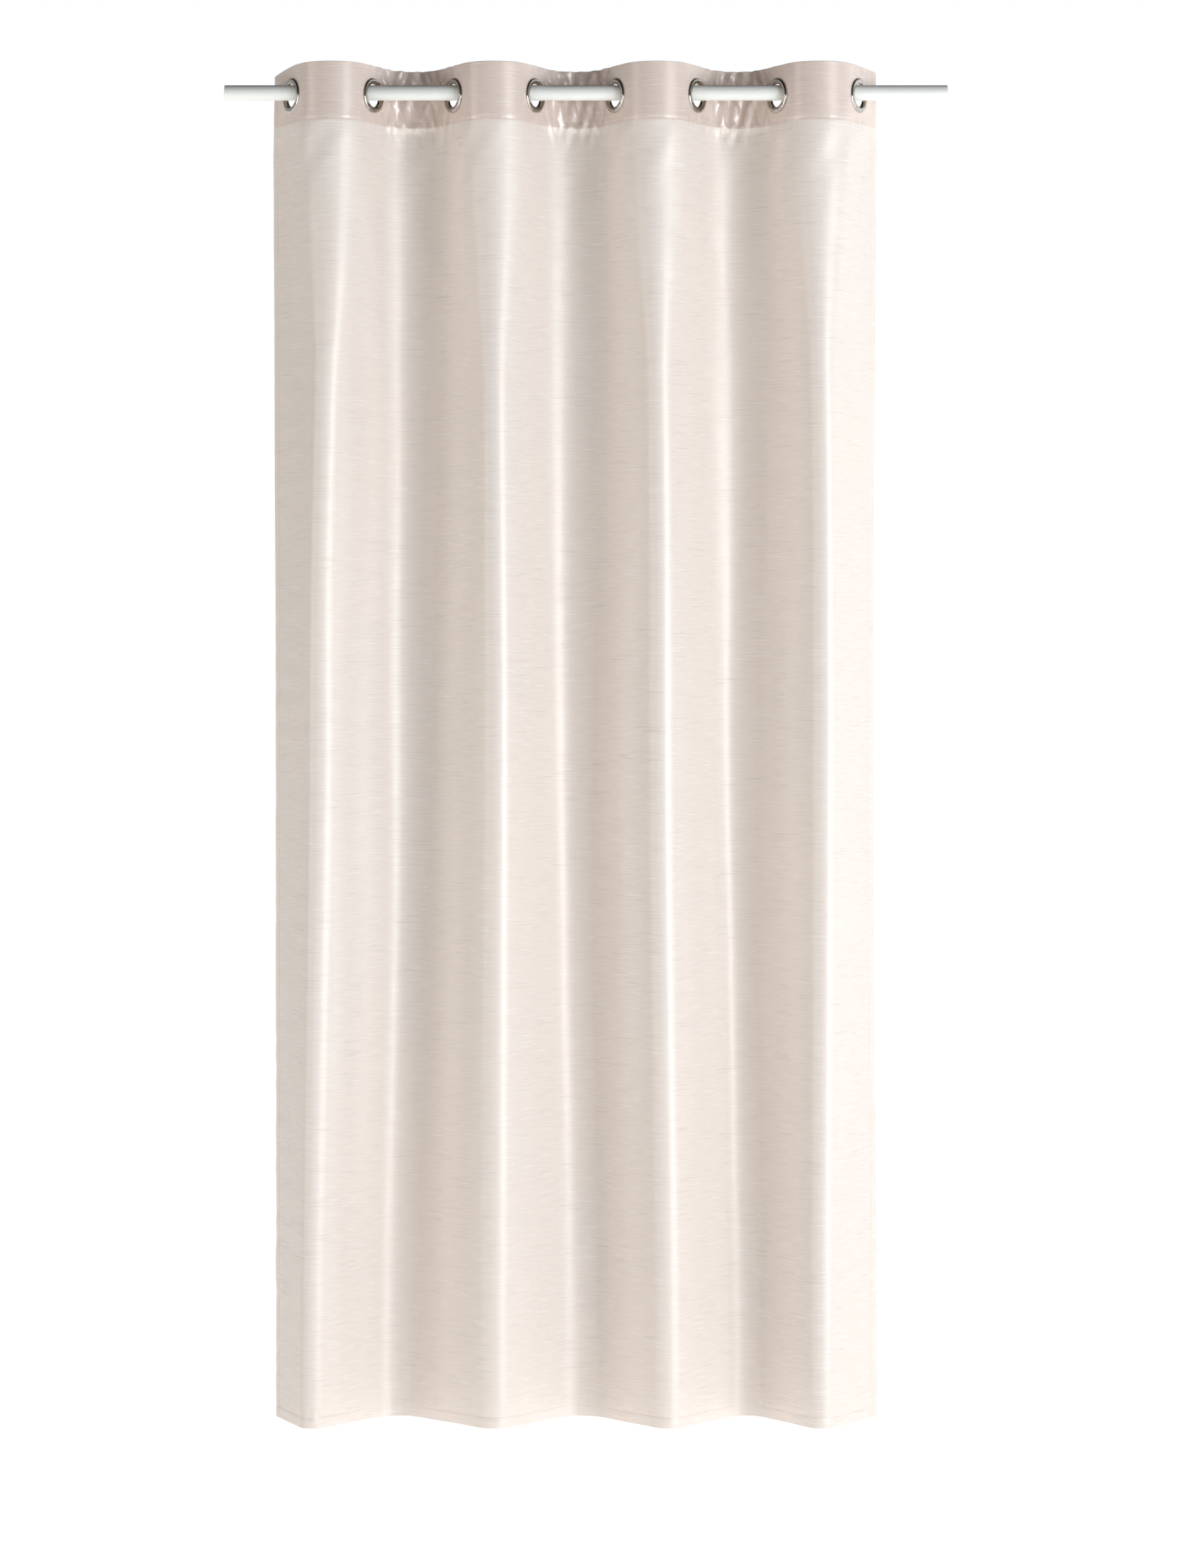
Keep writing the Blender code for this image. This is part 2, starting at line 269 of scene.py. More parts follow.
def doubled(grid, axis):
    """The grid with a smooth new row or column between each two."""
    grid = np.moveaxis(grid, axis, 0)
    first, last = 2 * grid[:1] - grid[1:2], 2 * grid[-1:] - grid[-2:-1]
    wide = np.concatenate([first, grid, last])
    middle = (9 * (wide[1:-2] + wide[2:-1]) - wide[:-3] - wide[3:]) / 16
    out = np.empty((2 * len(grid) - 1, *grid.shape[1:]))
    out[::2], out[1::2] = grid, middle
    return np.moveaxis(out, 0, axis)


def normals_of(grid):
    """The normal at each point of the grid, towards the room."""
    across = np.gradient(grid, axis=1)
    down = np.gradient(grid, axis=0)
    normal = np.cross(down, across)
    return normal / np.linalg.norm(normal, axis=-1, keepdims=True)


def settled(points, u, v):
    """The hung cloth after a short cloth simulation: seams drawn in, the rest free to settle."""
    rows, columns = points.shape[:2]
    index = np.arange(rows * columns).reshape(rows, columns)
    faces = np.stack([index[:-1, :-1], index[1:, :-1], index[1:, 1:], index[:-1, 1:]], axis=-1)
    mesh = bpy.data.meshes.new("settling")
    mesh.from_pydata(points.reshape(-1, 3).tolist(), [], faces.reshape(-1, 4).tolist())
    sheet = bpy.data.objects.new("settling", mesh)
    bpy.context.collection.objects.link(sheet)
    v = np.broadcast_to(v[:, None], u.shape)
    back = back_crest(u)
    held = 1 - 0.85 * eased(0.3, 1.0, back) * eased(HOLE_RADIUS, 0.05, eyelet_distance(u, v))
    low = 0.50 * (1 - eased(0.2, 1.4, v)) + 0.15
    pin = np.where(v < HEADING_DEPTH - 0.001, held, low)
    pin = np.where(eyelet_distance(u, v) < RING_RADIUS + 0.006, 1.0, pin)
    drawn = np.exp(-((v - HEADING_DEPTH) / SEWN_BAND) ** 2) * (0.02 + 0.98 * back ** 2)
    drawn += 0.08 * np.exp(-((v - DROP + HEM_DEPTH) / SEWN_BAND) ** 2)
    for name, weights in (("pin", pin), ("drawn", drawn)):
        group = sheet.vertex_groups.new(name=name)
        for vertex, weight in enumerate(np.clip(weights, 0, 1).reshape(-1).tolist()):
            group.add([vertex], weight, "REPLACE")
    cloth = sheet.modifiers.new("Cloth", "CLOTH")
    cloth.settings.quality = 6
    cloth.settings.mass = 0.02
    cloth.settings.tension_stiffness = 30
    cloth.settings.compression_stiffness = 30
    cloth.settings.shear_stiffness = 4
    cloth.settings.bending_stiffness = 0.4
    cloth.settings.effector_weights.gravity = 0.4
    cloth.settings.vertex_group_mass = "pin"
    cloth.settings.pin_stiffness = 1.0
    cloth.settings.vertex_group_shrink = "drawn"
    cloth.settings.shrink_max = SEAM_SHRINK
    cloth.collision_settings.use_collision = False
    cloth.point_cache.frame_end = SETTLE_FRAMES
    for step in range(1, SETTLE_FRAMES + 1):
        bpy.context.scene.frame_set(step)
    bpy.ops.object.select_all(action="DESELECT")
    bpy.context.view_layer.objects.active = sheet
    sheet.select_set(True)
    bpy.ops.object.modifier_apply(modifier=cloth.name)
    out = np.empty(rows * columns * 3)
    sheet.data.vertices.foreach_get("co", out)
    bpy.data.objects.remove(sheet)
    bpy.context.scene.frame_set(1)
    moved = out.reshape(points.shape) - points
    reach = np.arange(-SMOOTH_COLUMNS, SMOOTH_COLUMNS + 1)
    bell = np.exp(-(reach / SMOOTH_WIDTH) ** 2)
    ends = np.pad(moved, ((0, 0), (SMOOTH_COLUMNS, SMOOTH_COLUMNS), (0, 0)), mode="edge")
    soft = sum(w * ends[:, i:i + columns] for i, w in enumerate(bell / bell.sum()))
    free = eased(HEADING_DEPTH + 0.04, HEADING_DEPTH + 0.30, v)[..., None]
    moved = moved * (1 - free) + soft * free
    far = np.linalg.norm(moved, axis=-1, keepdims=True)
    return points + moved * np.minimum(1, MOST_MOVE / np.maximum(far, 1e-9))


def eyelet_distance(u, v):
    """Flat distance from the nearest eyelet's centre."""
    centre = END_MARGIN + EYELET_SPACING * np.round((u - END_MARGIN) / EYELET_SPACING)
    return np.hypot(u - np.clip(centre, END_MARGIN, FLAT_WIDTH - END_MARGIN), v - EYELET_DOWN)


def back_crest(u):
    """1 at the crests that lie behind the pole, 0 at those in front and at the side edges."""
    turn = (u - END_MARGIN - EYELET_SPACING / 2) / EYELET_SPACING * math.pi
    return (0.5 - 0.5 * np.cos(turn)) * eased(0, 0.10, np.minimum(u, FLAT_WIDTH - u))


rows_v = body_rows()
coarse, coarse_u = hang(rows_v, columns_of(2))
coarse = settled(coarse, coarse_u, rows_v)
sheet_points = doubled(doubled(coarse, 0), 1)
sheet_u = doubled(doubled(coarse_u, 0), 1)
sheet_v = np.broadcast_to(doubled(rows_v, 0)[:, None], sheet_u.shape)
SEAM_ROW = int(np.argmin(abs(sheet_v[:, 0] - HEADING_DEPTH)))
HEM_ROW = int(np.argmin(abs(sheet_v[:, 0] - (DROP - HEM_DEPTH))))
sheet_normals = normals_of(sheet_points)
SIDE_COLUMN = int(np.argmin(abs(sheet_u[0] - SIDE_HEM)))
LAST_COLUMN = sheet_u.shape[1] - 1


# ---------------------------------------------------------------- puckers and creases

def waves(u, seed, length, count=7):
    """Uneven ripples along u, about one to each length."""
    draw = np.random.default_rng(seed)
    total = np.zeros_like(u)
    for _ in range(count):
        pitch = length * draw.uniform(0.7, 1.6)
        total += draw.uniform(0.5, 1.0) * np.sin(u * 2 * math.pi / pitch + draw.uniform(0, 6.3))
    return total / math.sqrt(count)


def near_eyelet(u, v, reach):
    """1 at an eyelet, falling to 0 at reach from its centre."""
    return 1 - eased(RING_RADIUS, reach, eyelet_distance(u, v))


def puckered(u, v):
    """How far the cloth stands out at each place: seam puckers, creases, soft folds and hems."""
    below = np.clip(v - HEADING_DEPTH, 0, None)
    above = np.clip(HEADING_DEPTH - v, 0, None)
    back = back_crest(u)
    seam = np.exp(-below / 0.013) * np.exp(-above / 0.008)
    out = 0.0011 * waves(u, 11, 0.0100) * seam * (0.30 + 0.9 * back)
    creases = waves(u + 0.22 * (v - 0.05), 12, 0.030, 5) + 0.6 * waves(u - 0.35 * v, 13, 0.021, 5)
    falling = 1 - eased(HEADING_DEPTH - 0.01, HEADING_DEPTH + 0.05, v)
    hold = 1 - near_eyelet(u, v, 0.048)
    out += 0.0030 * creases * back ** 2 * falling * hold
    loose = np.exp(-below / 0.22) * eased(HEADING_DEPTH - 0.02, HEADING_DEPTH + 0.03, v)
    out += 0.0009 * waves(u + 0.03 * waves(v, 14, 0.25, 3), 15, 0.075, 5) * loose
    long_folds = eased(0.15, 0.6, v) * (1 - 0.5 * eased(1.6, 2.4, v))
    out += 0.0011 * waves(u + 0.012 * waves(v, 16, 0.9, 3), 17, 0.11, 5) * long_folds
    hem = np.exp(-abs(v - (DROP - HEM_DEPTH)) / 0.012)
    out += 0.0004 * waves(u, 18, 0.012) * hem
    side = np.minimum(u, FLAT_WIDTH - u)
    out += 0.0004 * waves(v, 19, 0.03) * np.exp(-abs(side - SIDE_HEM) / 0.008)
    stitched = np.exp(-((v - HEADING_DEPTH + SEAM_STITCH_IN) / GROOVE) ** 2)
    stitched += np.exp(-((v - DROP + HEM_DEPTH - HEM_STITCH_IN) / GROOVE) ** 2)
    stitched += np.exp(-((side - SIDE_HEM + HEM_STITCH_IN) / GROOVE) ** 2)
    return out - GROOVE_DEPTH * np.clip(stitched, 0, 1)


def corner_droop(u, v):
    """The top corners sag a little beyond the outermost eyelets."""
    left = LEFT_DROOP * (1 - np.clip(u / DROOP_REACH, 0, 1)) ** 1.4
    right = RIGHT_DROOP * (1 - np.clip((FLAT_WIDTH - u) / DROOP_REACH, 0, 1)) ** 1.4
    free = 1 - near_eyelet(u, v, 0.050)
    return (left + right) * (1 - eased(0, HEADING_DEPTH, v)) * free


sheet_points = sheet_points + puckered(sheet_u, sheet_v)[..., None] * sheet_normals
sheet_points[..., 2] -= corner_droop(sheet_u, sheet_v)
sheet_normals = normals_of(sheet_points)


# ---------------------------------------------------------------- shader helpers

class Value:
    """A shader socket that adds Math nodes when it is used in a sum."""

    def __init__(self, tree, socket):
        self.tree, self.socket = tree, socket

    def maths(self, operation, other=None, swap=False):
        pair = (other, self) if swap else (self, other)
        sockets = {i: x for i, x in enumerate(pair) if x is not None}
        return self.tree.node("ShaderNodeMath", {"operation": operation}, sockets)[0]

    def __add__(self, other):
        return self.maths("ADD", other)

    def __sub__(self, other):
        return self.maths("SUBTRACT", other)

    def __rsub__(self, other):
        return self.maths("SUBTRACT", other, True)

    def __mul__(self, other):
        return self.maths("MULTIPLY", other)

    __radd__, __rmul__ = __add__, __mul__


class Material:
    """A material under construction, with a method for each kind of node that it needs."""

    def __init__(self, name):
        self.material = bpy.data.materials.new(name)
        self.material.use_nodes = True
        self.tree = self.material.node_tree
        self.tree.nodes.clear()

    def node(self, kind, settings=None, sockets=None):
        """A node with its settings, then its sockets' values or links; gives its outputs."""
        node = self.tree.nodes.new(kind)
        for name, value in (settings or {}).items():
            setattr(node, name, value)
        for name, value in (sockets or {}).items():
            if isinstance(value, Value):
                self.tree.links.new(value.socket, node.inputs[name])
            else:
                node.inputs[name].default_value = value
        return [Value(self, socket) for socket in node.outputs if socket.enabled]

    def coordinates(self, kind="UV", scale=(1, 1, 1)):
        outputs = self.node("ShaderNodeTexCoord")
        place = outputs[["Generated", "Normal", "UV", "Object"].index(kind)]
        return self.node("ShaderNodeMapping", {}, {"Vector": place, "Scale": scale})[0]

    def noise(self, place, scale=1.0, detail=2.0, roughness=0.5, distortion=0.0):
        return self.node("ShaderNodeTexNoise", {}, {
            "Vector": place, "Scale": scale, "Detail": detail, "Roughness": roughness,
            "Distortion": distortion})[0]

    def between(self, value, low, high, to_low=0.0, to_high=1.0):
        return self.node("ShaderNodeMapRange", {"clamp": True}, {
            "Value": value, "From Min": low, "From Max": high, "To Min": to_low,
            "To Max": to_high})[0]

    def mix(self, share, a, b):
        outputs = self.node("ShaderNodeMix", {"data_type": "RGBA"}, {0: share, 6: a, 7: b})
        return outputs[-1]

    def bump(self, height, distance, strength=1.0):
        return self.node("ShaderNodeBump", {}, {
            "Height": height, "Distance": distance, "Strength": strength})[0]

    def finish(self, **sockets):
        named = {name.replace("_", " "): value for name, value in sockets.items()}
        shader = self.node("ShaderNodeBsdfPrincipled", {}, named)[0]
        self.node("ShaderNodeOutputMaterial", {}, {"Surface": shader})
        return self.material


def satin(name, base, deep, rough=0.45, shine=1.45):
    """Slub satin: fine weave, uneven level slubs, and a soft broad sheen."""
    m = Material(name)
    slub = m.noise(m.coordinates(scale=(22, 620, 1)), 1.0, 2.0, 0.6)
    slub_fine = m.noise(m.coordinates(scale=(55, 1500, 1)), 1.0, 1.0, 0.5)
    patch = m.noise(m.coordinates(scale=(7, 30, 1)), 1.0, 2.0, 0.5)
    long_slub = m.noise(m.coordinates(scale=(15, 420, 1)), 1.0, 1.5, 0.5)
    bright_slub = m.noise(m.coordinates(scale=(19, 510, 7)), 1.0, 1.0, 0.5)
    weave = m.noise(m.coordinates(scale=(3200, 1500, 1)), 1.0, 1.0, 0.5)
    tone = m.noise(m.coordinates(scale=(3, 1.1, 1)), 1.0, 2.0, 0.5)
    thick = m.between(long_slub, 0.58, 0.70) * m.between(patch, 0.36, 0.58)
    pale = m.between(bright_slub, 0.62, 0.74)
    streak = m.between(slub, 0.30, 0.70) * 0.65 + m.between(slub_fine, 0.3, 0.7) * 0.35
    dark = m.between(streak * 0.85 + weave * 0.15, 0.20, 0.80, 0.0, 0.75)
    ground = m.mix(dark, (*base, 1), (*deep, 1))
    warm = tuple(min(1, c * w) for c, w in zip(base, (1.03, 0.995, 0.96)))
    ground = m.mix(m.between(tone, 0.35, 0.70, 0.0, 0.45), ground, (*warm, 1))
    thin = tuple(c * 0.78 for c in deep)
    colour = m.mix(thick * 0.38, ground, (*thin, 1))
    colour = m.mix(pale * 0.5, colour, (0.95, 0.91, 0.87, 1))
    height = streak * 0.55 + thick * 0.9 + pale * 0.5 + weave * 0.2
    roughness = m.between(streak, 0.1, 0.9, rough - 0.05, rough + 0.06) + thick * 0.08
    return m.finish(Base_Color=colour, Roughness=roughness, IOR=shine,
                    Normal=m.bump(height, 0.00020, 0.42), Metallic=0.1, Sheen_Weight=0.05,
                    Sheen_Roughness=0.4)


def thread(name, colour):
    """Twisted sewing thread."""
    m = Material(name)
    twist = m.noise(m.coordinates("Object", (900, 900, 2600)), 1.0, 2.0)
    shade = m.mix(m.between(twist, 0.3, 0.7), (*[c * 0.82 for c in colour], 1), (*colour, 1))
    return m.finish(Base_Color=shade, Roughness=m.between(twist, 0.2, 0.8, 0.45, 0.6),
                    Normal=m.bump(twist, 0.0001, 0.5))


def polished_metal(name, dark, pale):
    """Polished metal with faint hairlines and small differences in wear."""
    m = Material(name)
    place = m.coordinates("Object", (1, 1, 1))
    wear = m.noise(place, 90.0, 4.0, 0.6)
    hairline = m.noise(m.coordinates("Object", (700, 700, 700)), 1.0, 2.0)
    colour = m.mix(m.between(wear, 0.35, 0.7), (*dark, 1), (*pale, 1))
    return m.finish(Base_Color=colour, Metallic=1.0,
                    Roughness=m.between(wear, 0.3, 0.75, 0.05, 0.11) + hairline * 0.02,
                    Normal=m.bump(hairline, 0.00002, 0.3))


def painted_wood(name):
    """Off-white matt paint with faint brush lines along the pole."""
    m = Material(name)
    brush = m.noise(m.coordinates("Object", (5, 520, 520)), 1.0, 3.0, 0.6)
    cloud = m.noise(m.coordinates("Object", (3, 30, 30)), 1.0, 2.0)
    speck = m.noise(m.coordinates("Object", (420, 420, 420)), 1.0, 1.0)
    colour = m.mix(m.between(brush, 0.3, 0.7), (0.74, 0.755, 0.71, 1), (0.80, 0.81, 0.77, 1))
    colour = m.mix(m.between(cloud, 0.35, 0.7, 0.0, 0.5), colour, (0.82, 0.82, 0.78, 1))
    colour = m.mix(m.between(speck, 0.70, 0.78, 0.0, 0.12), colour, (0.60, 0.57, 0.52, 1))
    return m.finish(Base_Color=colour, Roughness=m.between(brush, 0.3, 0.7, 0.42, 0.55),
                    Normal=m.bump(brush, 0.00012, 0.35))


SATIN = satin("champagne_satin", base=(0.83, 0.755, 0.695), deep=(0.73, 0.66, 0.60))
# The heading's base colour is darker and pinker than the cloth's: painted shade, standing in for
# the light from behind that the doubled heading lets through less
HEADING_SATIN_PAINTED_SHADE = satin("heading_satin_painted_shade", base=(0.76, 0.645, 0.575), deep=(0.65, 0.545, 0.48),
                      rough=0.33, shine=1.85)
HEM_SATIN = satin("hem_satin", base=(0.84, 0.765, 0.705), deep=(0.74, 0.665, 0.605), rough=0.43)
THREAD = thread("champagne_thread", (0.80, 0.72, 0.65))
METAL = polished_metal("polished_metal", dark=(0.42, 0.39, 0.36), pale=(0.60, 0.57, 0.54))
# The barrel and bore use the same chrome in a gold-brown colour: a painted reflection of warm
# surroundings, not a different metal
BARREL_PAINTED_REFLECTION = polished_metal("barrel_painted_reflection", dark=(0.32, 0.26, 0.17), pale=(0.50, 0.43, 0.32))
PAINT = painted_wood("off_white_paint")


# ---------------------------------------------------------------- sheets

def grid_piece(name, points, normals, u, v, material, drop_faces=None):
    """A sheet made of a grid of points, shaded by the whole curtain's own normals."""
    rows, columns = points.shape[:2]
    index = np.arange(rows * columns).reshape(rows, columns)
    faces = np.stack([index[:-1, :-1], index[1:, :-1], index[1:, 1:], index[:-1, 1:]], axis=-1)
    faces = faces.reshape(-1, 4)
    if drop_faces is not None:
        faces = faces[~drop_faces.reshape(-1)]
    used = np.unique(faces)
    renumber = np.full(rows * columns, -1)
    renumber[used] = np.arange(len(used))
    faces = renumber[faces]
    mesh = bpy.data.meshes.new(name)
    mesh.from_pydata(points.reshape(-1, 3)[used].tolist(), [], faces.tolist())
    mesh.update()
    layer = mesh.uv_layers.new(name="cloth")
    flat = np.stack([u, v], axis=-1).reshape(-1, 2)[used]
    corners = np.empty(len(mesh.loops), dtype=np.int32)
    mesh.loops.foreach_get("vertex_index", corners)
    layer.data.foreach_set("uv", flat[corners].astype(np.float32).reshape(-1))
    mesh.shade_smooth()
    mesh.normals_split_custom_set_from_vertices(normals.reshape(-1, 3)[used].tolist())
    mesh.materials.append(material)
    piece = bpy.data.objects.new(name, mesh)
    bpy.context.collection.objects.link(piece)
    return piece


def folded_sheet(points, normals, u, v, layer, outwards, steps=6):
    """Front layer, the turn round its last row, and the layer behind it, as one sheet."""
    turn = np.linspace(0, math.pi, steps + 1)[1:-1]
    edge, face = points[-1], normals[-1]
    gap = layer * 2 * layer_gap(u)
    front, back = points, points - gap[..., None] * normals
    radius = gap[-1][:, None] / 2
    bends = [edge + radius * ((math.cos(a) - 1) * face + math.sin(a) * outwards) for a in turn]
    tilts = [math.cos(a) * face + math.sin(a) * outwards for a in turn]
    rise = [v[-1] + layer * a * np.sign(v[-1] - v[0]) for a in turn]
    end = layer * math.pi * np.sign(v[-1] - v[0])
    return (np.concatenate([front, np.array(bends), back[::-1]]),
            np.concatenate([normals, np.array(tilts), -normals[::-1]]),
            np.concatenate([u, np.repeat(u[-1:], len(turn), 0), u[::-1]]),
            np.concatenate([v, np.array(rise), 2 * v[-1:] + end - v[::-1]]))


def layer_gap(u):
    """Two layers lie closer together towards the side edges, where they are sewn."""
    side = np.minimum(u, FLAT_WIDTH - u)
    return 0.2 + 0.8 * eased(0.0, 0.008, side)


def cut_columns():
    """The columns where the sheets begin and end, one cut in each inner flank."""
    cuts = [ACROSS_EDGE + ACROSS * flank + CUT for flank in range(EYELETS - 2)]
    return [0, *cuts, LAST_COLUMN]


def blend_between(piece):
    """Bakes the piece's placement into its mesh."""
    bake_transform(piece)


HOLE_SLACK = 0.0015                      # the rings hide the stepped edge of the hole


def eyelet_faces(u, v):
    """True for the grid faces inside an eyelet hole."""
    middle_u = (u[:-1, :-1] + u[1:, :-1] + u[:-1, 1:] + u[1:, 1:]) / 4
    middle_v = (v[:-1, :-1] + v[1:, :-1] + v[:-1, 1:] + v[1:, 1:]) / 4
    inside = np.zeros(middle_u.shape, dtype=bool)
    for eyelet in range(EYELETS):
        centre = END_MARGIN + EYELET_SPACING * eyelet
        away = np.hypot(middle_u - centre, middle_v - EYELET_DOWN)
        inside |= away < HOLE_RADIUS + HOLE_SLACK
    return inside


def make_sheets():
    """Each sheet's cloth, heading and hem, from the middle of one flank to the next."""
    cuts = cut_columns()
    down = np.array([0.0, 0.0, -1.0])
    for crest in range(CRESTS):
        first, last = cuts[crest], cuts[crest + 1]
        body_first = SIDE_COLUMN if crest == 0 else first
        body_last = LAST_COLUMN - SIDE_COLUMN if crest == CRESTS - 1 else last
        number = crest + 1

        part = np.s_[SEAM_ROW:HEM_ROW + 1, body_first:body_last + 1]
        body = grid_piece(f"curtain_cloth_{number}", sheet_points[part], sheet_normals[part],
                          sheet_u[part], sheet_v[part], SATIN)

        part = np.s_[SEAM_ROW::-1, first:last + 1]
        points, normals, u, v = folded_sheet(
            sheet_points[part], sheet_normals[part], sheet_u[part], sheet_v[part], LAYER, -down)
        holes = eyelet_faces(u, np.abs(v))
        heading = grid_piece(f"curtain_heading_{number}", points[::-1], normals[::-1],
                             u[::-1], v[::-1], HEADING_SATIN_PAINTED_SHADE, holes[::-1])

        part = np.s_[HEM_ROW:, first:last + 1]
        points, normals, u, v = folded_sheet(
            sheet_points[part], sheet_normals[part], sheet_u[part], sheet_v[part], HEM_LAYER, down)
        hem = grid_piece(f"curtain_hem_{number}", points, normals, u, v, HEM_SATIN)

        for piece, slot in ((body, "satin_cloth"), (heading, "satin_heading"),
                            (hem, "satin_hem")):
            blend_between(piece)
        pleats = [number] if crest < CRESTS - 1 else [number, number + 1]
        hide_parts(*[f"cloth_{k}" for k in pleats])
        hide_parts(*[f"heading_{k}" for k in pleats],
                    *[f"stiffener_{k}" for k in pleats])
        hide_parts(*[f"hem_{k}" for k in pleats])


def make_side_hem(name, columns, outwards):
    """The strip folded round a side edge, as one sheet from the heading to the hem."""
    part = np.s_[SEAM_ROW:HEM_ROW + 1, columns]
    points, normals, u, v = (np.moveaxis(x[part], 1, 0) for x in (
        sheet_points, sheet_normals, sheet_u, sheet_v))
    gap = HEM_LAYER * 2
    turn = np.linspace(0, math.pi, 7)[1:-1]
    edge, face = points[-1], normals[-1]
    side = points[-1] - points[-2]
    side /= np.linalg.norm(side, axis=-1, keepdims=True)
    bends = [edge + gap / 2 * ((math.cos(a) - 1) * face + math.sin(a) * side) for a in turn]
    tilts = [math.cos(a) * face + math.sin(a) * side for a in turn]
    back = points - gap * normals
    points = np.concatenate([points, np.array(bends), back[::-1]])
    normals = np.concatenate([normals, np.array(tilts), -normals[::-1]])
    way = np.sign(u[-1, 0] - u[0, 0])
    u = np.concatenate([u, np.array([u[-1] + way * gap / 2 * a for a in turn]),
                        2 * u[-1:] + way * gap / 2 * math.pi - u[::-1]])
    v = np.concatenate([v, np.repeat(v[-1:], len(turn), 0), v[::-1]])
    if outwards > 0:
        points, normals, u, v = (np.moveaxis(x, 0, 1) for x in (points, normals, u, v))
    else:
        points, normals, u, v = (np.moveaxis(x[::-1], 0, 1) for x in (points, normals, u, v))
    hem = grid_piece(name, points, normals, u, v, HEM_SATIN)
    blend_between(hem)
    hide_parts(name.replace("curtain_", ""))


make_sheets()
make_side_hem("curtain_side_hem_left", slice(SIDE_COLUMN, None, -1), -1)
make_side_hem("curtain_side_hem_right",
              slice(LAST_COLUMN - SIDE_COLUMN, LAST_COLUMN + 1), 1)


# ---------------------------------------------------------------- stitching

def stitch_shape():
    """One stitch: a short thread, flattened, with its ends going down into the cloth."""
    bpy.ops.object.select_all(action="DESELECT")
    bpy.ops.mesh.primitive_cylinder_add(vertices=6, radius=STITCH_RADIUS, depth=STITCH_LENGTH,
                                        rotation=(0, math.pi / 2, 0), end_fill_type="TRIFAN")
    stitch = bpy.context.object
    bpy.ops.object.transform_apply(rotation=True)
    bpy.ops.object.mode_set(mode="EDIT")
    bpy.ops.mesh.select_all(action="SELECT")
    bpy.ops.mesh.bisect(plane_co=(0, 0, 0), plane_no=(1, 0, 0))
    bpy.ops.object.mode_set(mode="OBJECT")
    points = np.array([v.co for v in stitch.data.vertices])
    points[:, 2] -= STITCH_SINK * (points[:, 0] / (STITCH_LENGTH / 2)) ** 2
    points[:, 1] *= 0.9
    faces = [tuple(p.vertices) for p in stitch.data.polygons]
    bpy.data.objects.remove(stitch)
    return points, faces


def sample_line(row_or_column, fixed, pitch):
    """Places, directions and normals at each stitch along a row or a column of the sheet."""
    grid = (lambda a: a[fixed]) if row_or_column == "row" else (lambda a: a[:, fixed])
    line, face = grid(sheet_points), grid(sheet_normals)
    step = np.r_[0, np.cumsum(np.linalg.norm(np.diff(line, axis=0), axis=1))]
    at = np.arange(pitch / 2, step[-1], pitch)
    place = np.stack([np.interp(at, step, line[:, i]) for i in range(3)], axis=1)
    ahead = np.stack([np.interp(at + 0.001, step, line[:, i]) for i in range(3)], axis=1)
    up = np.stack([np.interp(at, step, face[:, i]) for i in range(3)], axis=1)
    way = ahead - place
    way /= np.linalg.norm(way, axis=1, keepdims=True) + 1e-12
    up /= np.linalg.norm(up, axis=1, keepdims=True)
    column = np.interp(at, step, np.arange(len(line))) if row_or_column == "row" else None
    return place, way, up, column


def nearest_row(v):
    """The sheet's row nearest to v below the top edge."""
    return int(np.argmin(abs(sheet_v[:, 0] - v)))


def make_stitching():
    """Thread along the heading's seam and the hems, one piece to each sheet."""
    shape, faces = stitch_shape()
    cuts = cut_columns()
    lines = [sample_line("row", nearest_row(HEADING_DEPTH - SEAM_STITCH_IN), STITCH_PITCH),
             sample_line("row", nearest_row(DROP - HEM_DEPTH + HEM_STITCH_IN), STITCH_PITCH)]
    right = LAST_COLUMN - SIDE_COLUMN + 1
    sides = {0: sample_line("column", SIDE_COLUMN - 1, SIDE_STITCH_PITCH),
             CRESTS - 1: sample_line("column", right, SIDE_STITCH_PITCH)}
    for crest in range(CRESTS):
        chosen = []
        for place, way, up, column in lines:
            inside = (column >= cuts[crest]) & (column < cuts[crest + 1])
            chosen.append((place[inside], way[inside], up[inside]))
        if crest in sides:
            chosen.append(sides[crest][:3])
        place, way, up = (np.concatenate(x) for x in zip(*chosen))
        across = np.cross(up, way)
        points = (place[:, None] + shape[None, :, 0:1] * way[:, None]
                  + shape[None, :, 1:2] * across[:, None]
                  + (shape[None, :, 2:3] + STITCH_LIFT) * up[:, None])
        count = len(shape)
        mesh = bpy.data.meshes.new(f"stitching_{crest + 1}")
        mesh.from_pydata(points.reshape(-1, 3).tolist(), [],
                         [tuple(i + count * n for i in face) for n in range(len(place))
                          for face in faces])
        mesh.update()
        mesh.shade_smooth()
        mesh.materials.append(THREAD)
        piece = bpy.data.objects.new(f"stitching_{crest + 1}", mesh)
        bpy.context.collection.objects.link(piece)
        blend_between(piece)


make_stitching()


# ---------------------------------------------------------------- eyelets and pole

BARREL_REFLECTION_REACH = 0.0006                     # the barrel's painted warm reflection shows this far out


